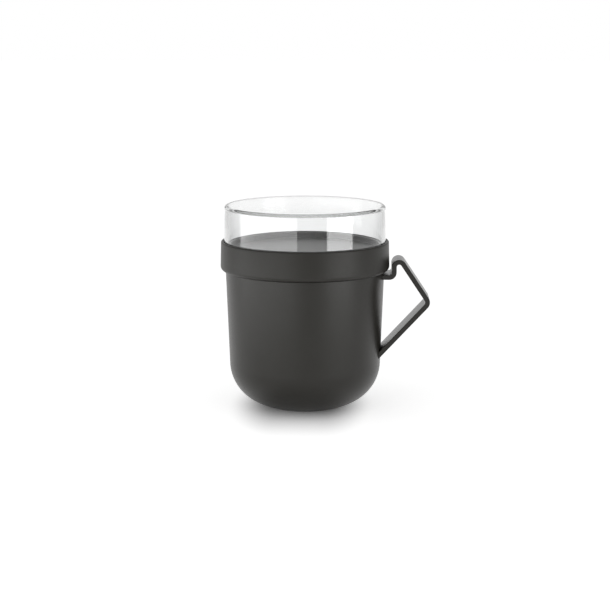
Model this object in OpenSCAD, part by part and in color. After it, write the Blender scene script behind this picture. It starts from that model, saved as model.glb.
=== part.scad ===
// Soup mug with a strap handle, a screw collar, a dished inner lid and a clear cap.
// Millimetres, +Z up. The origin is the centre of the base, and the handle points along +X.

/* [Mug body] */
// Outside radius of the wall at the shoulder, just under the collar
body_r = 51.4; // [48:0.1:56]
// Lean of the wall away from the vertical, in degrees
wall_lean = 2.2; // [1:0.1:3.4]
// Height of the shoulder that the collar comes down to
shoulder_z = 89.2; // [80:0.2:110]
// Thickness of the wall and of the floor
wall_t = 3.2; // [2.4:0.1:3.6]
// How far the edge of the flat base lies inside the wall's radius at the shoulder
base_in = 29.3; // [24:0.1:34]
// Angle at which the bottom leaves the base, in degrees
base_rise = 12; // [6:0.5:16]
// Outside radius of the upper bend, between the wall and the belly
bend_r = 28.2; // [24:0.2:31]
// Outside radius of the belly, between the upper bend and the base
belly_r = 44.6; // [42:0.2:52]
// Width of the ring that the mug stands on
foot_w = 3.6; // [2.5:0.1:6]
// Depth of the recess inside that ring
recess_d = 0.8; // [0.4:0.1:1.4]
// Slope of the recess's side, in degrees from the vertical
recess_lean = 45; // [20:1:60]

/* [Neck] */
// Height of the neck above the shoulder
neck_h = 12.4; // [11:0.1:18]
// Step in from the body to the neck, which is the room for the thread
neck_step = 1.1; // [0.8:0.1:1.3]
// Rounding of the rim's two edges
rim_edge_r = 0.5; // [0.2:0.1:0.6]

/* [Handle] */
// Width of the strap
strap_w = 22; // [18:0.5:32]
// Thickness of the strap
strap_t = 3.1; // [2.4:0.1:3.6]
// Rounding of the strap's long edges
strap_edge_r = 0.4; // [0.2:0.1:1]
// Room between the strap's arm and the collar's underside
arm_room = 1.8; // [0.6:0.1:3]
// Room between the strap's riser and the collar's side
riser_room = 1.4; // [0.6:0.1:3]
// Inside radius of the elbow under the collar
elbow_r = 1.6; // [0.6:0.1:2]
// Inside radius of the loop at the top of the riser
loop_r = 1.6; // [1:0.1:3]
// Height of the loop's inside above the shoulder
loop_rise = 5.3; // [4:0.1:10]
// How far the handle's tip stands out from the collar's side
handle_out = 26.1; // [22:0.1:40]
// Depth of the centre of the tip's bend below the shoulder
tip_drop = 19.4; // [14:0.1:26]
// Inside radius of the tip's bend
tip_r = 2.1; // [1:0.1:6]
// Height at which the middle of the lower arm meets the wall
root_z = 36.3; // [34:0.1:44]

/* [Screw collar] */
// Thickness of the collar's wall at its widest
collar_t = 3; // [2.6:0.1:4]
// How much narrower the collar's radius is at the top than at the bottom
collar_draft = 0.4; // [0:0.05:0.5]
// Rounding of the collar's lower edge
collar_edge_r = 3; // [1:0.1:3]
// Rounding of the collar's upper outside edge
collar_top_r = 0.6; // [0.2:0.1:0.8]
// Thickness of the top rim that stands round the cap
rim_t = 1.8; // [1.5:0.1:2]
// Depth of the groove that the cap stands in
groove_d = 2.5; // [1.5:0.1:4]
// Thickness of the ledge under the cap, which holds the inner lid down
ledge_t = 1.5; // [1:0.1:2.5]
// Width of the ledge's edge that shows inside the cap's wall
ledge_show = 0.1; // [0:0.05:0.3]
// Radius of the bead that carries the inner lid when the collar lifts
bead_r = 0.6; // [0.4:0.05:0.7]

/* [Inner lid] */
// Thickness of the lid's floor
lid_floor_t = 1.8; // [1.5:0.1:2.4]
// Thickness of the flange that the collar's ledge presses on
flange_t = 1.4; // [1:0.1:1.8]
// Thickness of the wall round the dish
dish_wall_t = 1.6; // [1:0.1:2]
// How far the dish's wall stays below the collar's top
dish_drop = 0.2; // [0:0.1:1]
// Radius of the hollow where the dish's wall meets its floor
dish_fillet_r = 0.9; // [0.3:0.1:1.2]
// Thickness of the skirt that centres the lid in the neck
skirt_t = 1.6; // [1:0.1:2]
// Depth of the skirt below the lid's floor
skirt_h = 5.6; // [4:0.1:8]

/* [Lid seal] */
// Thickness of the seal on the rim
seal_t = 1.6; // [1:0.1:2.4]
// Thickness of the seal's cuff round the skirt
cuff_t = 0.9; // [0.6:0.1:1.2]
// Depth of the cuff below the rim
cuff_h = 3; // [2:0.1:3.6]
// Rounding of the seal's edges
seal_edge_r = 0.35; // [0.1:0.05:0.4]

/* [Clear cap] */
// Height of the cap from its foot to its top
cap_h = 25.7; // [16:0.1:60]
// Thickness of the cap's wall
cap_t = 2.7; // [2:0.1:3.5]
// Thickness of the cap's top
cap_top_t = 2.2; // [2:0.1:4]
// Rounding of the cap's upper outside edge
cap_edge_r = 2.1; // [0.4:0.1:2.6]
// Rounding of the corner inside the cap
cap_corner_r = 0.4; // [0.2:0.1:2]
// Rounding of the edges of the cap's foot
cap_foot_r = 0.4; // [0.1:0.1:0.8]

/* [Clearances] */
// Gap between pieces that move past each other
fit_gap = 0.3; // [0.2:0.05:0.5]
// Gap between the seal's cuff and the neck's bore
cuff_gap = 0.3; // [0.1:0.05:0.5]

/* [Hidden] */
$fn = 120;
// How far a cutting shape runs past what it cuts
overrun = 5;

base_r = body_r - base_in;
neck_r = body_r - neck_step;
bore_r = body_r - wall_t / cos(wall_lean);
rim_z = shoulder_z + neck_h;

collar_bore_r = body_r + fit_gap;
collar_r = collar_bore_r + collar_t;
collar_z = shoulder_z + fit_gap;
lid_z = rim_z + seal_t;
ledge_z = lid_z + flange_t;
groove_z = ledge_z + ledge_t;
collar_top = groove_z + groove_d;
groove_r = collar_r - collar_draft - rim_t;

cap_r = groove_r - fit_gap;
cap_in_r = cap_r - cap_t;
ledge_r = cap_in_r - ledge_show;
dish_out_r = ledge_r - fit_gap;
dish_r = dish_out_r - dish_wall_t;
flange_r = collar_bore_r - fit_gap;
skirt_r = bore_r - cuff_gap - cuff_t;

// Centre of the belly's arc, from the base's edge and the angle there
belly_c = [base_r - belly_r * sin(base_rise), belly_r * cos(base_rise)];

// Outside radius of the leaning wall at a height
function wall_r(z) = body_r - (shoulder_z - z) * tan(wall_lean);

// The upper bend touches the wall and the belly, so its centre is where the wall's line, moved in by bend_r,
// crosses the circle round belly_c of the difference of the two radii
function bend_centre_z(x0, k, gap) =
    let (a = 1 + k * k)
    let (b = k * (x0 - belly_c.x) - belly_c.y)
    let (c = pow(x0 - belly_c.x, 2) + pow(belly_c.y, 2) - gap * gap)
    (-b - sqrt(b * b - a * c)) / a;
bend_x0 = wall_r(0) - bend_r / cos(wall_lean);
bend_z = bend_centre_z(bend_x0, tan(wall_lean), belly_r - bend_r);
bend_c = [bend_x0 + bend_z * tan(wall_lean), bend_z];
bend_a = atan2(bend_c.y - belly_c.y, bend_c.x - belly_c.x);

// How far the bend's sector runs on inside its neighbours
bend_overlap_a = 8;

// A point at a distance and an angle from a centre
function polar(c, r, a) = c + r * [cos(a), sin(a)];

// The region inside the body's outside, moved in by inset, from its floor to the height top. The polygon runs
// straight between the arcs' ends, and the two sectors fill out the belly and the bend.
module cup_section(inset, top) {
    base_x = belly_c.x + sqrt(pow(belly_r - inset, 2) - pow(belly_c.y - inset, 2));
    ray_x = belly_c.x + (belly_c.y - inset) / tan(-bend_a);
    wall_x = wall_r(top) - inset / cos(wall_lean);
    bend_mid_a = (bend_a - wall_lean) / 2;
    polygon([
        [0, inset],
        [base_x, inset],
        polar(bend_c, bend_r - inset, bend_a),
        polar(bend_c, bend_r - inset, -wall_lean),
        [wall_x, top],
        [0, top]
    ]);
    intersection() {
        translate(belly_c)
            circle(belly_r - inset);
        polygon([belly_c, [belly_c.x, inset], [ray_x, inset]]);
    }
    intersection() {
        translate(bend_c)
            circle(bend_r - inset);
        polygon([
            bend_c,
            polar(bend_c, 2 * bend_r, bend_a - bend_overlap_a),
            polar(bend_c, 2 * bend_r, bend_mid_a),
            polar(bend_c, 2 * bend_r, bend_overlap_a - wall_lean)
        ]);
    }
}

// A rectangle from a low corner to a high one, with its two upper corners rounded by r_in and r_out
module round_top(low, high, r_in, r_out) {
    r_max = max(r_in, r_out);
    translate(low)
        square([high.x - low.x, high.y - low.y - r_max]);
    translate([low.x + r_in, high.y - r_max])
        square([high.x - low.x - r_in - r_out, r_max]);
    if (r_in > 0)
        translate([low.x + r_in, high.y - r_in])
            circle(r_in);
    if (r_out > 0)
        translate([high.x - r_out, high.y - r_out])
            circle(r_out);
}

// The handle's path lies in the plane of X and Z and is drawn flat, with Z as its second axis
arm_z = collar_z - arm_room - strap_t / 2;
riser_x = collar_r + riser_room + strap_t / 2;
elbow_mid_r = elbow_r + strap_t / 2;
loop_mid_r = loop_r + strap_t / 2;
tip_mid_r = tip_r + strap_t / 2;
elbow_c = [riser_x - elbow_mid_r, arm_z + elbow_mid_r];
loop_c = [riser_x + loop_mid_r, shoulder_z + loop_rise - loop_r];
tip_c = [collar_r + handle_out - strap_t - tip_r, shoulder_z - tip_drop];
root_p = [wall_r(root_z), root_z];

function heading(v) = atan2(v.y, v.x);
// Heading of the line that leaves one clockwise bend and runs into the next
function bend_to_bend(c1, r1, c2, r2) = heading(c2 - c1) - asin((r1 - r2) / norm(c2 - c1));
upper_a = bend_to_bend(loop_c, loop_mid_r, tip_c, tip_mid_r);
lower_a = bend_to_bend(tip_c, tip_mid_r, root_p, 0);

// The strap's cross-section, with its thickness first and its width second
edge_c = [strap_t / 2 - strap_edge_r, strap_w / 2 - strap_edge_r];
edge_step_a = 30;
strap_section = [
    for (k = [0 : 3], a = [0 : edge_step_a : 90])
        let (sx = k == 0 || k == 3 ? 1 : -1)
        let (sy = k < 2 ? 1 : -1)
        [sx * edge_c.x, sy * edge_c.y] + strap_edge_r * [cos(90 * k + a), sin(90 * k + a)]
];

// Points along a bend with the strap's heading at each, where side is 1 for a left turn and -1 for a right one
bend_step_a = 7.5;
function bend_stations(c, r, a0, a1, side) =
    let (n = ceil(abs(a1 - a0) / bend_step_a))
    [for (i = [0 : n]) let (a = a0 + (a1 - a0) * i / n) [polar(c, r, a - side * 90), a]];

// The strap starts and ends inside the wall, where the mug's inside cuts it off
root_in = 2 * wall_t;
strap_stations = concat(
    [[[wall_r(arm_z) - root_in, arm_z], 0]],
    bend_stations(elbow_c, elbow_mid_r, 0, 90, 1),
    bend_stations(loop_c, loop_mid_r, 90, upper_a, -1),
    bend_stations(tip_c, tip_mid_r, upper_a, lower_a, -1),
    [[polar(root_p, -root_in / cos(lower_a), lower_a), lower_a]]
);

// A point of the cross-section, set square across the path at a station
function on_station(s, q) = [s[0].x - q.x * sin(s[1]), q.y, s[0].y + q.x * cos(s[1])];

module strap() {
    m = len(strap_section);
    n = len(strap_stations);
    polyhedron(
        points = [for (s = strap_stations, q = strap_section) on_station(s, q)],
        faces = concat(
            [[for (k = [m - 1 : -1 : 0]) k]],
            [[for (k = [0 : m - 1]) (n - 1) * m + k]],
            [for (i = [0 : n - 2], k = [0 : m - 1])
                [i * m + k, i * m + (k + 1) % m, (i + 1) * m + (k + 1) % m, (i + 1) * m + k]]
        ),
        convexity = 6
    );
}

module mug() {
    recess_r = base_r - foot_w;
    color("#4a4743")
        difference() {
            union() {
                rotate_extrude()
                    cup_section(0, shoulder_z);
                rotate_extrude()
                    round_top([bore_r, shoulder_z - wall_t], [neck_r, rim_z], rim_edge_r, rim_edge_r);
                strap();
            }
            rotate_extrude()
                cup_section(wall_t, shoulder_z);
            translate([0, 0, shoulder_z - overrun / 2])
                cylinder(r = bore_r, h = overrun);
            cylinder(r1 = recess_r, r2 = recess_r - recess_d * tan(recess_lean), h = recess_d);
        }
}

module screw_collar() {
    edge_c = [collar_r - collar_edge_r, collar_z + collar_edge_r];
    top_r = collar_r - collar_draft;
    rim_c = [top_r - collar_top_r, collar_top - collar_top_r];
    lean_a = atan(collar_draft / (rim_c.y - edge_c.y));
    bead_z = lid_z - fit_gap - bead_r;
    color("#4a4743")
        rotate_extrude() {
            difference() {
                union() {
                    // Straight side, with its lower and upper edges rounded
                    polygon([
                        [groove_r - rim_t, collar_z],
                        [edge_c.x, collar_z],
                        polar(edge_c, collar_edge_r, 0),
                        polar(rim_c, collar_top_r, 0),
                        [rim_c.x, collar_top],
                        [groove_r - rim_t, collar_top]
                    ]);
                    translate(edge_c)
                        circle(collar_edge_r);
                    translate(rim_c)
                        circle(collar_top_r);
                }
                translate([0, collar_z - overrun])
                    square([collar_bore_r, ledge_z - collar_z + overrun]);
                translate([0, groove_z])
                    square([groove_r, groove_d + overrun]);
            }
            translate([ledge_r, ledge_z])
                square([collar_bore_r + collar_t / 2 - ledge_r, ledge_t]);
            // The inner lid snaps past this bead when the two are put together
            intersection() {
                translate([collar_bore_r, bead_z])
                    circle(bead_r);
                translate([collar_bore_r - bead_r, bead_z - bead_r])
                    square([bead_r + collar_t / 2, 2 * bead_r]);
            }
        }
}

module inner_lid() {
    floor_z = lid_z + lid_floor_t;
    dish_top = collar_top - dish_drop;
    color("#3f3d3a")
        rotate_extrude() {
            // Floor and flange
            translate([0, lid_z])
                square([dish_out_r, lid_floor_t]);
            translate([dish_r, lid_z])
                square([flange_r - dish_r, flange_t]);
            // Wall round the dish, with a round top and a hollow at its foot
            round_top([dish_r, lid_z], [dish_out_r, dish_top], dish_wall_t / 3, dish_wall_t / 3);
            difference() {
                translate([dish_r - dish_fillet_r, lid_z])
                    square([dish_fillet_r + dish_wall_t / 2, lid_floor_t + dish_fillet_r]);
                translate([dish_r - dish_fillet_r, floor_z + dish_fillet_r])
                    circle(dish_fillet_r);
            }
            // Skirt
            translate([skirt_r - skirt_t, lid_z - skirt_h])
                square([skirt_t, skirt_h + lid_floor_t / 2]);
        }
}

module lid_seal() {
    cuff_r = skirt_r + cuff_t;
    color("#b9bab8")
        rotate_extrude() {
            round_top([skirt_r, rim_z], [neck_r, lid_z], 0, seal_edge_r);
            mirror([0, 1])
                round_top([skirt_r, -lid_z], [cuff_r, cuff_h - rim_z], 0, seal_edge_r);
        }
}

module clear_cap() {
    cap_top = groove_z + cap_h;
    inside_top = cap_top - cap_top_t;
    color([0.86, 0.9, 0.92, 0.4])
        rotate_extrude()
            difference() {
                union() {
                    round_top([0, groove_z + cap_foot_r], [cap_r, cap_top], 0, cap_edge_r);
                    mirror([0, 1])
                        round_top([cap_in_r, -inside_top], [cap_r, -groove_z], cap_foot_r, cap_foot_r);
                }
                round_top([-overrun, groove_z - overrun], [cap_in_r, inside_top], 0, cap_corner_r);
            }
}

mug();
screw_collar();
inner_lid();
lid_seal();
clear_cap();
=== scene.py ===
"""Soup mug with a strap handle, a screw collar, a dished inner lid and a clear cap."""

import math
from functools import partial

import bmesh
import bpy
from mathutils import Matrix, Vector


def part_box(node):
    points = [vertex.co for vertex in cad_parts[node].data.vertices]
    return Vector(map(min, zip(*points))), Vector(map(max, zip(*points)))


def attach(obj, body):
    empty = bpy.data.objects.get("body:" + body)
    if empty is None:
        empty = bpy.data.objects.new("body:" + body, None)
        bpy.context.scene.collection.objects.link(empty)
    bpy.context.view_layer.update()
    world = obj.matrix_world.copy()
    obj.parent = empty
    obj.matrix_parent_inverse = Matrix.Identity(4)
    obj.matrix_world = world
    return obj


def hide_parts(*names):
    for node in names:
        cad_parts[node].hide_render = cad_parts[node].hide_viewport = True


MM = 0.001

# The photograph's camera: distance from the mug's axis, height over its base, and focal length in pixels
PHOTO_PX = 610
FOCAL_PX = 1684.6
CAMERA_DISTANCE = 1080 * MM
CAMERA_HEIGHT = 263.3 * MM
CAMERA_AZIMUTH = math.radians(1.5)
LOOK_AT = Vector((0, 0, 66 * MM))

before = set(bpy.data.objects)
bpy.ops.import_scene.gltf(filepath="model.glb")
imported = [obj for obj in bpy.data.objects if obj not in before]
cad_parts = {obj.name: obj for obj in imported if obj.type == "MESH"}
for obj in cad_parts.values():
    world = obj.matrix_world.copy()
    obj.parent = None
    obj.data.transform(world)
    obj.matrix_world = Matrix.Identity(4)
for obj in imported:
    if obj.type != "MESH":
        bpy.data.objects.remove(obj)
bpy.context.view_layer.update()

# Sizes that the parts in model.glb give
MUG_LOW, MUG_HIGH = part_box("mug")
COLLAR_LOW, COLLAR_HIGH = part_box("screw_collar")
LID_LOW, LID_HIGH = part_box("inner_lid")
SEAL_LOW, SEAL_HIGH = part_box("lid_seal")
CAP_LOW, CAP_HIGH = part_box("clear_cap")

BODY_R = -MUG_LOW.x
RIM_Z = MUG_HIGH.z
HANDLE_REACH = MUG_HIGH.x
COLLAR_R = COLLAR_HIGH.x
COLLAR_Z = COLLAR_LOW.z
COLLAR_TOP = COLLAR_HIGH.z
LID_Z = SEAL_HIGH.z
NECK_R = SEAL_HIGH.x
CAP_R = CAP_HIGH.x
CAP_FOOT = CAP_LOW.z
CAP_TOP = CAP_HIGH.z

# Room between pieces that fit together
FIT_GAP = 0.3 * MM

# Fineness of the meshes
SEGMENTS = 256
ARC_STEP = math.radians(6)
SHARP_ANGLE = math.radians(40)
SAME_POINT = 1e-7


def polar(centre, radius, angle):
    """A point of the profile's plane at a distance and an angle from a centre."""
    return (centre[0] + radius * math.cos(angle), centre[1] + radius * math.sin(angle))


def arc(centre, radius, start, end, step=ARC_STEP):
    """Points along an arc, both ends included."""
    count = max(2, math.ceil(abs(end - start) / step))
    return [polar(centre, radius, start + (end - start) * i / count) for i in range(count + 1)]


def rounded(corners):
    """A closed outline from (r, z, rounding) corners, each rounding made as an arc between its two sides."""
    points = []
    for i, (r, z, rounding) in enumerate(corners):
        here = Vector((r, z))
        if rounding <= 0:
            points.append((r, z))
            continue
        before = (Vector(corners[i - 1][:2]) - here).normalized()
        after = (Vector(corners[(i + 1) % len(corners)][:2]) - here).normalized()
        half = before.angle(after) / 2
        centre = here + (before + after).normalized() * (rounding / math.sin(half))
        start = here + before * (rounding / math.tan(half)) - centre
        end = here + after * (rounding / math.tan(half)) - centre
        start_angle = math.atan2(start.y, start.x)
        turn = (math.atan2(end.y, end.x) - start_angle + math.pi) % (2 * math.pi) - math.pi
        points += arc(centre, rounding, start_angle, start_angle + turn)
    return points


def mesh_object(name, build):
    """An object from a bmesh, with its normals outward and smooth but for its sharp edges."""
    bmesh.ops.remove_doubles(build, verts=build.verts, dist=SAME_POINT)
    bmesh.ops.recalc_face_normals(build, faces=build.faces)
    mesh = bpy.data.meshes.new(name)
    build.to_mesh(mesh)
    build.free()
    for polygon in mesh.polygons:
        polygon.use_smooth = True
    mesh.set_sharp_from_angle(angle=SHARP_ANGLE)
    piece = bpy.data.objects.new(name, mesh)
    bpy.context.scene.collection.objects.link(piece)
    return piece


def revolve(name, outline):
    """A closed solid of revolution about Z from a closed outline of (r, z) points."""
    build = bmesh.new()
    rings = []
    for r, z in outline:
        if r < SAME_POINT:
            rings.append([build.verts.new((0, 0, z))] * SEGMENTS)
            continue
        ring = []
        for k in range(SEGMENTS):
            angle = 2 * math.pi * k / SEGMENTS
            ring.append(build.verts.new((r * math.cos(angle), r * math.sin(angle), z)))
        rings.append(ring)
    for i, ring in enumerate(rings):
        following = rings[(i + 1) % len(rings)]
        for k in range(SEGMENTS):
            j = (k + 1) % SEGMENTS
            corners = [ring[k], ring[j], following[j], following[k]]
            kept = [v for place, v in enumerate(corners) if v not in corners[:place]]
            if len(kept) > 2:
                build.faces.new(kept)
    return mesh_object(name, build)


def add_tube(build, rings):
    """Faces between rings of as many points each, with both ends closed."""
    for ring, following in zip(rings, rings[1:]):
        for k in range(len(ring)):
            j = (k + 1) % len(ring)
            build.faces.new([ring[k], ring[j], following[j], following[k]])
    build.faces.new(rings[0])
    build.faces.new(rings[-1])


def sweep(name, stations, section):
    """A closed tube of a (thickness, width) section along stations of (point, heading) in X and Z."""
    build = bmesh.new()
    rings = []
    for (x, z), heading in stations:
        ring = []
        for u, v in section:
            ring.append(build.verts.new((x - u * math.sin(heading), v, z + u * math.cos(heading))))
        rings.append(ring)
    add_tube(build, rings)
    return mesh_object(name, build)


# Materials

PLASTIC_IOR = 1.49
# Noise mostly lies between these two
NOISE_LOW = 0.3
NOISE_HIGH = 0.7
# Per metre, which greys the light that runs along the cap's thick edge and leaves its walls clear
CLEAR_ABSORPTION = 15
CLEAR_ABSORBED_TINT = (0.89, 0.9, 0.895, 1)
CLEAR_TINT = (0.985, 0.99, 0.99, 1)


def principled(name):
    """A new material, with its nodes, its links and its shader."""
    material = bpy.data.materials.new(name)
    material.use_nodes = True
    nodes = material.node_tree.nodes
    return material, nodes, material.node_tree.links, nodes["Principled BSDF"]


def noise(nodes, links, scale, detail=3.0):
    """Noise in the object's own coordinates, with scale in features per metre."""
    coordinates = nodes.new("ShaderNodeTexCoord")
    texture = nodes.new("ShaderNodeTexNoise")
    texture.inputs["Scale"].default_value = scale
    texture.inputs["Detail"].default_value = detail
    links.new(coordinates.outputs["Object"], texture.inputs["Vector"])
    return texture.outputs["Fac"]


def map_range(nodes, links, value, span, ends, interpolation):
    """A value that runs from one end to the other while the given value crosses a span."""
    node = nodes.new("ShaderNodeMapRange")
    node.interpolation_type = interpolation
    for name, number in zip(("From Min", "From Max", "To Min", "To Max"), (*span, *ends)):
        node.inputs[name].default_value = number
    links.new(value, node.inputs["Value"])
    return node.outputs["Result"]


def between(nodes, links, factor, low, high):
    """A value that wanders from low to high with a noise."""
    return map_range(nodes, links, factor, (NOISE_LOW, NOISE_HIGH), (low, high), "LINEAR")


def tinted(nodes, links, factor, dark, light):
    """A colour that wanders between two with a noise, for the slight unevenness of a moulding."""
    mix = nodes.new("ShaderNodeMix")
    mix.data_type = "RGBA"
    mix.inputs["A"].default_value = (*dark, 1)
    mix.inputs["B"].default_value = (*light, 1)
    links.new(between(nodes, links, factor, 0, 1), mix.inputs["Factor"])
    return mix.outputs["Result"]


def bump(nodes, links, shader, height, strength, distance):
    """Relief on a shader from a noise."""
    node = nodes.new("ShaderNodeBump")
    node.inputs["Strength"].default_value = strength
    node.inputs["Distance"].default_value = distance
    links.new(height, node.inputs["Height"])
    links.new(node.outputs["Normal"], shader.inputs["Normal"])


def satin_plastic(name, tints, roughness, shine):
    """Moulded plastic with a fine spark-eroded grain."""
    material, nodes, links, shader = principled(name)
    shader.inputs["IOR"].default_value = PLASTIC_IOR
    shader.inputs["Specular IOR Level"].default_value = shine
    clouds = noise(nodes, links, scale=60)
    patches = noise(nodes, links, scale=900)
    grain = noise(nodes, links, scale=3200, detail=2.0)
    links.new(tinted(nodes, links, clouds, *tints), shader.inputs["Base Color"])
    links.new(between(nodes, links, patches, *roughness), shader.inputs["Roughness"])
    bump(nodes, links, shader, grain, strength=0.25, distance=0.02 * MM)
    return material


def clear_plastic(name, roughness):
    """Clear polished plastic with the faint waviness of a moulding."""
    material, nodes, links, shader = principled(name)
    shader.inputs["Base Color"].default_value = CLEAR_TINT
    shader.inputs["Transmission Weight"].default_value = 1
    shader.inputs["IOR"].default_value = PLASTIC_IOR
    patches = noise(nodes, links, scale=120)
    waves = noise(nodes, links, scale=45)
    links.new(between(nodes, links, patches, *roughness), shader.inputs["Roughness"])
    bump(nodes, links, shader, waves, strength=0.05, distance=0.05 * MM)
    absorption = nodes.new("ShaderNodeVolumeAbsorption")
    absorption.inputs["Color"].default_value = CLEAR_ABSORBED_TINT
    absorption.inputs["Density"].default_value = CLEAR_ABSORPTION
    links.new(absorption.outputs[0], nodes["Material Output"].inputs["Volume"])
    return material


def silicone(name, tints, roughness, depth):
    """Pale silicone, which light goes into by a small depth."""
    material, nodes, links, shader = principled(name)
    shader.inputs["Subsurface Weight"].default_value = 0.35
    shader.inputs["Subsurface Radius"].default_value = (depth, depth, depth)
    clouds = noise(nodes, links, scale=90)
    patches = noise(nodes, links, scale=700)
    grain = noise(nodes, links, scale=2600)
    links.new(tinted(nodes, links, clouds, *tints), shader.inputs["Base Color"])
    links.new(between(nodes, links, patches, *roughness), shader.inputs["Roughness"])
    bump(nodes, links, shader, grain, strength=0.2, distance=0.02 * MM)
    return material


MUG_TINTS = (0.0150, 0.0138, 0.0106), (0.0178, 0.0166, 0.0134)
LID_TINTS = (0.0155, 0.0145, 0.0130), (0.0185, 0.0175, 0.0160)
SEAL_TINTS = (0.5, 0.5, 0.48), (0.58, 0.58, 0.56)
MUG_PLASTIC = satin_plastic("mug_plastic", MUG_TINTS, roughness=(0.31, 0.39), shine=0.36)
HANDLE_PLASTIC = satin_plastic("handle_plastic", MUG_TINTS, roughness=(0.23, 0.31), shine=0.36)
COLLAR_PLASTIC = satin_plastic("collar_plastic", MUG_TINTS, roughness=(0.40, 0.48), shine=0.36)
LID_PLASTIC = satin_plastic("lid_plastic", LID_TINTS, roughness=(0.30, 0.38), shine=0.34)
CLEAR_PLASTIC = clear_plastic("clear_plastic", roughness=(0.0, 0.02))
SILICONE = silicone("silicone", SEAL_TINTS, roughness=(0.38, 0.5), depth=2 * MM)


def dress(piece, material, body, slot, *nodes):
    """Gives a piece its material, its body and the nodes that it stands for; slot is not used."""
    piece.data.materials.clear()
    piece.data.materials.append(material)
    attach(piece, body)
    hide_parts(*nodes)


# Mug

SHOULDER_Z = COLLAR_Z - FIT_GAP
WALL_LEAN = math.radians(2.2)
WALL_T = 3.2 * MM
BASE_R = 22.1 * MM
BASE_RISE = math.radians(12)
BEND_R = 28.2 * MM
BELLY_R = 44.6 * MM
FOOT_W = 3.6 * MM
RECESS_D = 0.8 * MM
RIM_EDGE_R = 0.5 * MM
PROFILE_STEP = ARC_STEP / 3


def wall_r(z):
    """Radius of the body's leaning wall at a height."""
    return BODY_R - (SHOULDER_Z - z) * math.tan(WALL_LEAN)


BORE_R = wall_r(SHOULDER_Z) - WALL_T / math.cos(WALL_LEAN)


def cup_profile(inset):
    """Points from the floor's edge up to the shoulder, along the body's outside moved in by inset."""
    belly = (BASE_R - BELLY_R * math.sin(BASE_RISE), BELLY_R * math.cos(BASE_RISE))
    # The upper arc's centre lies on a line beside the wall, where the arc touches both the wall and the belly
    slope = math.tan(WALL_LEAN)
    line_r = wall_r(0) - BEND_R / math.cos(WALL_LEAN)
    a = 1 + slope * slope
    b = slope * (line_r - belly[0]) - belly[1]
    c = (line_r - belly[0]) ** 2 + belly[1] ** 2 - (BELLY_R - BEND_R) ** 2
    z = (-b - math.sqrt(b * b - a * c)) / a
    upper = (line_r + slope * z, z)
    joint = math.atan2(upper[1] - belly[1], upper[0] - belly[0])
    start = math.acos((belly[1] - inset) / (BELLY_R - inset)) - math.pi / 2
    points = arc(belly, BELLY_R - inset, start, joint, PROFILE_STEP)
    points += arc(upper, BEND_R - inset, joint, -WALL_LEAN, PROFILE_STEP)[1:]
    points.append((wall_r(SHOULDER_Z) - inset / math.cos(WALL_LEAN), SHOULDER_Z))
    return points


def make_mug():
    """A round-bottomed cup on a foot ring, with a neck above its shoulder."""
    recess = BASE_R - FOOT_W
    outside = cup_profile(0)
    inside = cup_profile(WALL_T)[::-1]
    rim = rounded([
        (NECK_R, SHOULDER_Z, 0),
        (NECK_R, RIM_Z, RIM_EDGE_R),
        (BORE_R, RIM_Z, RIM_EDGE_R),
        (BORE_R, SHOULDER_Z, 0),
    ])
    underside = [(0, RECESS_D), (recess - RECESS_D, RECESS_D), (recess, 0)]
    outline = underside + outside + rim[:-1] + inside + [(0, WALL_T)]
    dress(revolve("mug_body", outline), MUG_PLASTIC, "mug", "mug_plastic", "mug")


# Handle

STRAP_T = 3.1 * MM
STRAP_W = 22 * MM
STRAP_EDGE_R = 0.4 * MM
ARM_ROOM = 1.8 * MM
RISER_ROOM = 1.4 * MM
ELBOW_R = 1.6 * MM
LOOP_R = 1.6 * MM
LOOP_RISE = 5.3 * MM
TIP_DROP = 19.4 * MM
TIP_R = 2.1 * MM
ROOT_Z = 36.3 * MM
ROOT_DEPTH = 2.4 * MM


def bend(centre, radius, start, end):
    """Stations along a bend between two headings, to the left if the heading grows and else to the right."""
    side = math.copysign(math.pi / 2, end - start)
    count = max(2, math.ceil(abs(end - start) / ARC_STEP))
    headings = [start + (end - start) * i / count for i in range(count + 1)]
    return [(polar(centre, radius, heading - side), heading) for heading in headings]


def heading_between(centre, radius, target, target_radius):
    """Heading of the line that leaves one clockwise bend and runs into the next, or into a point."""
    dx, dz = target[0] - centre[0], target[1] - centre[1]
    return math.atan2(dz, dx) - math.asin((radius - target_radius) / math.hypot(dx, dz))


def make_handle():
    """One strap that leaves the wall under the collar, loops over outside it and slants back to the wall."""
    half_t = STRAP_T / 2
    arm_z = COLLAR_Z - ARM_ROOM - half_t
    riser_x = COLLAR_R + RISER_ROOM + half_t
    elbow = (riser_x - ELBOW_R - half_t, arm_z + ELBOW_R + half_t)
    loop = (riser_x + LOOP_R + half_t, SHOULDER_Z + LOOP_RISE - LOOP_R)
    tip = (HANDLE_REACH - STRAP_T - TIP_R, SHOULDER_Z - TIP_DROP)
    root = (wall_r(ROOT_Z), ROOT_Z)
    upper = heading_between(loop, LOOP_R + half_t, tip, TIP_R + half_t)
    lower = heading_between(tip, TIP_R + half_t, root, 0)
    stations = [((wall_r(arm_z) - ROOT_DEPTH, arm_z), 0.0)]
    stations += bend(elbow, ELBOW_R + half_t, 0, math.pi / 2)
    stations += bend(loop, LOOP_R + half_t, math.pi / 2, upper)
    stations += bend(tip, TIP_R + half_t, upper, lower)
    stations.append((polar(root, -ROOT_DEPTH / math.cos(lower), lower), lower))
    half_w = STRAP_W / 2
    section = rounded([
        (-half_t, -half_w, STRAP_EDGE_R),
        (half_t, -half_w, STRAP_EDGE_R),
        (half_t, half_w, STRAP_EDGE_R),
        (-half_t, half_w, STRAP_EDGE_R),
    ])
    dress(sweep("handle_strap", stations, section), HANDLE_PLASTIC, "mug", "mug_plastic")


# Clear cap

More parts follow.
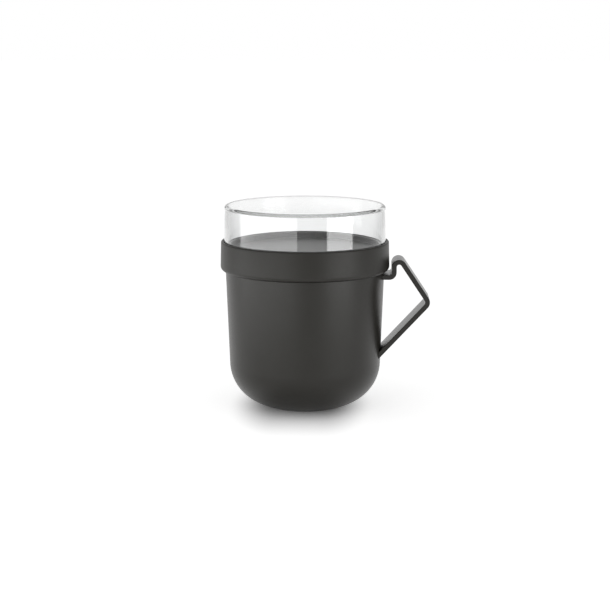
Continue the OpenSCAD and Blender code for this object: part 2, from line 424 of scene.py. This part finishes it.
CAP_T = 2.7 * MM
CAP_TOP_T = 2.2 * MM
CAP_EDGE_R = 2.1 * MM
CAP_CORNER_R = 0.4 * MM
CAP_FOOT_R = 0.4 * MM


def make_cap():
    """A thick cup turned over, with a flat top."""
    inside_r = CAP_R - CAP_T
    inside_z = CAP_TOP - CAP_TOP_T
    outline = rounded([
        (0, CAP_TOP, 0),
        (CAP_R, CAP_TOP, CAP_EDGE_R),
        (CAP_R, CAP_FOOT, CAP_FOOT_R),
        (inside_r, CAP_FOOT, CAP_FOOT_R),
        (inside_r, inside_z, CAP_CORNER_R),
        (0, inside_z, 0),
    ])
    dress(revolve("cap_shell", outline), CLEAR_PLASTIC, "cap", "cap_clear", "clear_cap")


# Screw collar

COLLAR_T = 3.0 * MM
COLLAR_BORE_R = COLLAR_R - COLLAR_T
COLLAR_DRAFT = 0.4 * MM
COLLAR_EDGE_R = 3.0 * MM
COLLAR_TOP_R = 0.9 * MM
GROOVE_WALL_T = 1.8 * MM
GROOVE_EDGE_R = 0.3 * MM
GROOVE_FOOT_R = 0.15 * MM
LEDGE_T = 1.5 * MM
LEDGE_SHOW = 0.1 * MM
LEDGE_R = CAP_R - CAP_T - LEDGE_SHOW
LEDGE_EDGE_R = 0.2 * MM
BEAD_R = 0.6 * MM
BEAD_STEP = math.radians(15)


def make_collar():
    """A ring whose ledge carries the cap and covers the lid's flange, with a bead that lifts the flange."""
    top_r = COLLAR_R - COLLAR_DRAFT
    ledge_z = CAP_FOOT - LEDGE_T
    bead_z = LID_Z - FIT_GAP - BEAD_R
    bead = arc((COLLAR_BORE_R, bead_z), BEAD_R, math.pi / 2, 3 * math.pi / 2, BEAD_STEP)
    edge = (COLLAR_R - COLLAR_EDGE_R, COLLAR_Z + COLLAR_EDGE_R)
    edge_start = -math.acos(max(0.0, COLLAR_BORE_R - edge[0]) / COLLAR_EDGE_R)
    lower_edge = arc(edge, COLLAR_EDGE_R, edge_start, 0)
    outline = lower_edge + rounded([
        (COLLAR_R, COLLAR_Z + COLLAR_EDGE_R, 0),
        (top_r, COLLAR_TOP, COLLAR_TOP_R),
        (top_r - GROOVE_WALL_T, COLLAR_TOP, GROOVE_EDGE_R),
        (top_r - GROOVE_WALL_T, CAP_FOOT, GROOVE_FOOT_R),
        (LEDGE_R, CAP_FOOT, LEDGE_EDGE_R),
        (LEDGE_R, ledge_z, LEDGE_EDGE_R),
        (COLLAR_BORE_R, ledge_z, 0),
    ]) + bead
    piece = revolve("collar_ring", outline)
    dress(piece, COLLAR_PLASTIC, "collar", "collar_plastic", "screw_collar")


# Inner lid and its seal

LID_FLOOR_T = 1.8 * MM
LID_RIM_EDGE_R = 0.5 * MM
DISH_R = LEDGE_R - FIT_GAP
DISH_WALL_T = 1.6 * MM
DISH_FILLET_R = 0.9 * MM
FLANGE_T = 1.4 * MM
FLANGE_ROOT_R = 0.15 * MM
FLANGE_EDGE_R = 0.2 * MM
CUFF_GAP = 0.3 * MM
CUFF_T = 0.9 * MM
CUFF_R = BORE_R - CUFF_GAP
CUFF_ROOT_R = 0.1 * MM
CUFF_EDGE_R = 0.2 * MM
SKIRT_R = CUFF_R - CUFF_T
SKIRT_T = 1.6 * MM
SKIRT_ROOT_R = 0.1 * MM
SKIRT_EDGE_R = 0.3 * MM
SKIRT_FILLET_R = 0.5 * MM
SEAL_ROOT_R = 0.05 * MM
SEAL_EDGE_R = 0.3 * MM


def make_inner_lid():
    """A dish with a flange under the collar's ledge and a skirt inside the seal's cuff."""
    floor_r = DISH_R - DISH_WALL_T
    floor_z = LID_Z + LID_FLOOR_T
    flange_z = LID_Z + FLANGE_T
    outline = rounded([
        (0, floor_z, 0),
        (floor_r, floor_z, DISH_FILLET_R),
        (floor_r, LID_HIGH.z, LID_RIM_EDGE_R),
        (DISH_R, LID_HIGH.z, LID_RIM_EDGE_R),
        (DISH_R, flange_z, FLANGE_ROOT_R),
        (LID_HIGH.x, flange_z, FLANGE_EDGE_R),
        (LID_HIGH.x, LID_Z, FLANGE_EDGE_R),
        (SKIRT_R, LID_Z, SKIRT_ROOT_R),
        (SKIRT_R, LID_LOW.z, SKIRT_EDGE_R),
        (SKIRT_R - SKIRT_T, LID_LOW.z, SKIRT_EDGE_R),
        (SKIRT_R - SKIRT_T, LID_Z, SKIRT_FILLET_R),
        (0, LID_Z, 0),
    ])
    dress(revolve("lid_dish", outline), LID_PLASTIC, "lid_insert", "lid_plastic", "inner_lid")


def make_seal():
    """A flat ring on the mug's rim, with a cuff that hangs into the neck round the lid's skirt."""
    outline = rounded([
        (SKIRT_R, LID_Z, SEAL_ROOT_R),
        (SKIRT_R, SEAL_LOW.z, CUFF_EDGE_R),
        (CUFF_R, SEAL_LOW.z, SEAL_EDGE_R),
        (CUFF_R, RIM_Z, CUFF_ROOT_R),
        (NECK_R, RIM_Z, SEAL_EDGE_R),
        (NECK_R, LID_Z, SEAL_EDGE_R),
    ])
    dress(revolve("seal_ring", outline), SILICONE, "lid_insert", "seal_silicone", "lid_seal")


# Thread, which the solids leave out

THREAD_STARTS = 4
THREAD_LEAD = 16 * MM
THREAD_SPAN = math.radians(104)
THREAD_STEPS = 44
THREAD_DEPTH = 1.1 * MM
THREAD_SINK = 0.1 * MM
THREAD_ROOT_W = 1.9 * MM
THREAD_CREST_W = 0.8 * MM
THREAD_RUN_IN = math.radians(9)
# Share of the depth that is left at a ridge's two ends
THREAD_TIP_SHARE = 0.02
NECK_THREAD_LOW = 92.6 * MM
# The collar's ridges lie half way between the neck's
COLLAR_THREAD_LOW = NECK_THREAD_LOW - THREAD_LEAD / THREAD_STARTS / 2


def make_thread(name, radius, outward, low, material, body, slot):
    """Ridges that climb at one lead, stand out from radius by the thread's depth and taper at both ends."""
    build = bmesh.new()
    root, crest = THREAD_ROOT_W / 2, THREAD_CREST_W / 2
    inner = radius - outward * THREAD_SINK
    for start in range(THREAD_STARTS):
        rings = []
        for i in range(THREAD_STEPS + 1):
            turn = THREAD_SPAN * i / THREAD_STEPS
            angle = turn + 2 * math.pi * start / THREAD_STARTS
            middle = low + THREAD_LEAD * turn / (2 * math.pi)
            full = min(1.0, turn / THREAD_RUN_IN, (THREAD_SPAN - turn) / THREAD_RUN_IN)
            outer = radius + outward * THREAD_DEPTH * max(full, THREAD_TIP_SHARE)
            lower_half = [(inner, -root), (radius, -root), (outer, -crest)]
            section = lower_half + [(r, -z) for r, z in reversed(lower_half)]
            rings.append([
                build.verts.new((r * math.cos(angle), r * math.sin(angle), middle + z)) for r, z in section
            ])
        add_tube(build, rings)
    dress(mesh_object(name, build), material, body, slot)


make_mug()
make_handle()
make_collar()
make_inner_lid()
make_seal()
make_cap()
make_thread("neck_thread", NECK_R, 1, NECK_THREAD_LOW, MUG_PLASTIC, "mug", "mug_plastic")
make_thread(
    "collar_thread", COLLAR_BORE_R, -1, COLLAR_THREAD_LOW, COLLAR_PLASTIC, "collar", "collar_plastic"
)


# Studio

WHITE = (1, 1, 1, 1)
WHITE_STRENGTH = 1.0
LIGHT_BOUNCES = 40

FLOOR_SIZE = 12.0
FLOOR_COLOR = (0.95, 0.95, 0.95, 1)
# What the floor adds when it is seen, in the mug's shade, beside it and far off, and how far out each one is;
# adding little in the shade paints shade there on top of the real shadow
FLOOR_SHINES = (0.04, 0.61, 0.62)
FLOOR_REACHES = (0.015, 0.088, 0.5)
# The painted shade's middle in X, half its straight length, and what a step out of it counts sideways and
# forwards
PAINTED_SHADE_MIDDLE = -2.7 * MM
PAINTED_SHADE_HALF_W = 14.2 * MM
PAINTED_SHADE_FADES = (2.6, 0.9)
# The shares of what the floor adds that show through glass, up to one distance aside and from another on
GLASS_SHARES = (0.86, 0.2)
GLASS_REACHES = (0.12, 0.5)

# The world's strength on rough surfaces and in reflections
AMBIENT = 0.455
FRONT_SHINE = 0.1
HIGH_FRONT_SHINE = 0.9
LEFT_SHINE = 0.5
RIGHT_SHINE = 0.25
TOP_SHINE = 0.7
# Its strength through glass: beside the backdrop, at the backdrop's foot and higher up, and overhead
SIDE_GLOW = 0.55
FOOT_GLOW = 1.0
HIGH_GLOW = 0.6
TOP_GLOW = 1.0
# Where one of these runs over into the next, in the X, Y or Z of a direction
BACKDROP_SPAN = (0.75, 0.93)
SIDES_SPAN = (-0.2, 0.5)
FRONT_SPAN = (-0.9, -0.3)
FRONT_RISE = (0.12, 0.3)
OVERHEAD_RISE = (0.3, 0.75)
GLOW_RISE = (0.05, 0.22)


def value_node(nodes, links, operation, *inputs):
    """A Math node over sockets and plain numbers."""
    node = nodes.new("ShaderNodeMath")
    node.operation = operation
    for socket, value in zip(node.inputs, inputs):
        if isinstance(value, (int, float)):
            socket.default_value = value
        else:
            links.new(value, socket)
    return node.outputs["Value"]


def blend_node(nodes, links, factor, low, high):
    """low at a factor of 0 and high at 1."""
    gain = value_node(nodes, links, "SUBTRACT", high, low)
    return value_node(nodes, links, "MULTIPLY_ADD", gain, factor, low)


def smooth_step(nodes, links, value, span, ends=(0, 1)):
    """A value that eases from one end to the other while the given value crosses a span."""
    return map_range(nodes, links, value, span, ends, "SMOOTHSTEP")


def make_floor():
    """A white floor that takes the shadow, and adds a little when seen so that it stays white far off.

    What it adds fades away towards the mug's foot, over an oblong with round ends, which paints shade there
    on top of the real shadow.
    """
    bpy.ops.mesh.primitive_plane_add(size=FLOOR_SIZE)
    floor = bpy.context.object
    floor.name = "studio_floor"
    material = bpy.data.materials.new("studio_floor")
    material.use_nodes = True
    nodes, links = material.node_tree.nodes, material.node_tree.links
    nodes.clear()
    value = partial(value_node, nodes, links)
    step = partial(smooth_step, nodes, links)

    place = nodes.new("ShaderNodeSeparateXYZ")
    links.new(nodes.new("ShaderNodeTexCoord").outputs["Object"], place.inputs[0])
    x, y = place.outputs["X"], place.outputs["Y"]
    # Distance out of the oblong of painted shade round the mug's foot
    beyond_edge = value("SUBTRACT", value("ABSOLUTE", value("SUBTRACT", x, PAINTED_SHADE_MIDDLE)), PAINTED_SHADE_HALF_W)
    sideways = value("MULTIPLY", value("MAXIMUM", beyond_edge, 0), PAINTED_SHADE_FADES[0])
    forwards = value("MULTIPLY", y, PAINTED_SHADE_FADES[1])
    distance = value("SQRT", value("MULTIPLY_ADD", forwards, forwards, value("MULTIPLY", sideways, sideways)))
    # Little is added near the foot, which is painted shade there
    under, beside, far = FLOOR_SHINES
    near = step(distance, FLOOR_REACHES[:2], (under, beside))
    strength = value("ADD", near, step(distance, FLOOR_REACHES[1:], (0, far - beside)))

    path = nodes.new("ShaderNodeLightPath")
    seen = value("MAXIMUM", path.outputs["Is Camera Ray"], path.outputs["Is Glossy Ray"])
    through = step(value("ABSOLUTE", x), GLASS_REACHES, GLASS_SHARES)
    share = blend_node(nodes, links, path.outputs["Is Transmission Ray"], seen, through)
    diffuse = nodes.new("ShaderNodeBsdfDiffuse")
    diffuse.inputs["Color"].default_value = FLOOR_COLOR
    shine = nodes.new("ShaderNodeEmission")
    links.new(value("MULTIPLY", share, strength), shine.inputs["Strength"])
    total = nodes.new("ShaderNodeAddShader")
    links.new(diffuse.outputs[0], total.inputs[0])
    links.new(shine.outputs[0], total.inputs[1])
    links.new(total.outputs[0], nodes.new("ShaderNodeOutputMaterial").inputs["Surface"])
    floor.data.materials.append(material)


def make_world():
    """White when seen, and a plain light on rough surfaces.

    Shine finds a white backdrop, dimmer sides and front, and more light high in front and overhead.
    Glass finds white at the backdrop's foot and overhead, and less elsewhere.
    """
    world = bpy.data.worlds.new("studio")
    bpy.context.scene.world = world
    world.use_nodes = True
    nodes, links = world.node_tree.nodes, world.node_tree.links
    blend = partial(blend_node, nodes, links)
    step = partial(smooth_step, nodes, links)

    direction = nodes.new("ShaderNodeSeparateXYZ")
    links.new(nodes.new("ShaderNodeTexCoord").outputs["Generated"], direction.inputs[0])
    across, back, up = (direction.outputs[axis] for axis in "XYZ")
    path = nodes.new("ShaderNodeLightPath")
    seen, shining, through = (path.outputs[f"Is {kind} Ray"] for kind in ("Camera", "Glossy", "Transmission"))
    backdrop = step(back, BACKDROP_SPAN)
    overhead = step(up, OVERHEAD_RISE)

    front = step(up, FRONT_RISE, (FRONT_SHINE, HIGH_FRONT_SHINE))
    sides = step(across, SIDES_SPAN, (LEFT_SHINE, RIGHT_SHINE))
    reflected = blend(overhead, blend(step(back, FRONT_SPAN), front, sides), TOP_SHINE)
    strength = blend(shining, AMBIENT, blend(backdrop, reflected, WHITE_STRENGTH))
    glow = step(up, GLOW_RISE, (FOOT_GLOW, HIGH_GLOW))
    strength = blend(through, strength, blend(overhead, blend(backdrop, SIDE_GLOW, glow), TOP_GLOW))
    strength = blend(seen, strength, WHITE_STRENGTH)
    background = nodes["Background"]
    background.inputs["Color"].default_value = WHITE
    links.new(strength, background.inputs["Strength"])


def make_softbox(name, first, second, low, high, radiance):
    """An upright soft lamp from one point of the floor plan to another, which faces right of that way.

    Its light is given as its brightness when looked at.
    """
    (x0, y0), (x1, y1) = first, second
    width, height = math.hypot(x1 - x0, y1 - y0), high - low
    data = bpy.data.lights.new(name, "AREA")
    data.shape = "RECTANGLE"
    data.size = width
    data.size_y = height
    data.energy = radiance * math.pi * width * height
    light = bpy.data.objects.new(name, data)
    light.location = ((x0 + x1) / 2, (y0 + y1) / 2, (low + high) / 2)
    light.rotation_euler = Vector((y1 - y0, x0 - x1, 0)).to_track_quat("-Z", "Y").to_euler()
    light.visible_camera = False
    bpy.context.scene.collection.objects.link(light)


def make_camera():
    """The photograph's camera, a little above the mug."""
    data = bpy.data.cameras.new("camera")
    camera = bpy.data.objects.new("camera", data)
    camera.location = (
        CAMERA_DISTANCE * math.sin(CAMERA_AZIMUTH),
        -CAMERA_DISTANCE * math.cos(CAMERA_AZIMUTH),
        CAMERA_HEIGHT,
    )
    camera.rotation_euler = (LOOK_AT - camera.location).to_track_quat("-Z", "Y").to_euler()
    data.lens = data.sensor_width * FOCAL_PX / PHOTO_PX
    bpy.context.scene.collection.objects.link(camera)
    bpy.context.scene.camera = camera


# The clear cap guides light along its walls and its top, which takes more bounces than the usual dozen
cycles = bpy.context.scene.cycles
cycles.max_bounces = LIGHT_BOUNCES
cycles.glossy_bounces = LIGHT_BOUNCES
cycles.transmission_bounces = LIGHT_BOUNCES

make_floor()
make_world()
make_softbox("softbox_left", (-0.08, -0.50), (-0.50, 0.08), low=0.0, high=0.108, radiance=2.4)
make_softbox("softbox_right", (0.52, -0.19), (0.30, -0.485), low=0.0, high=0.11, radiance=4.9)
make_camera()
bpy.context.scene.view_settings.view_transform = "Standard"
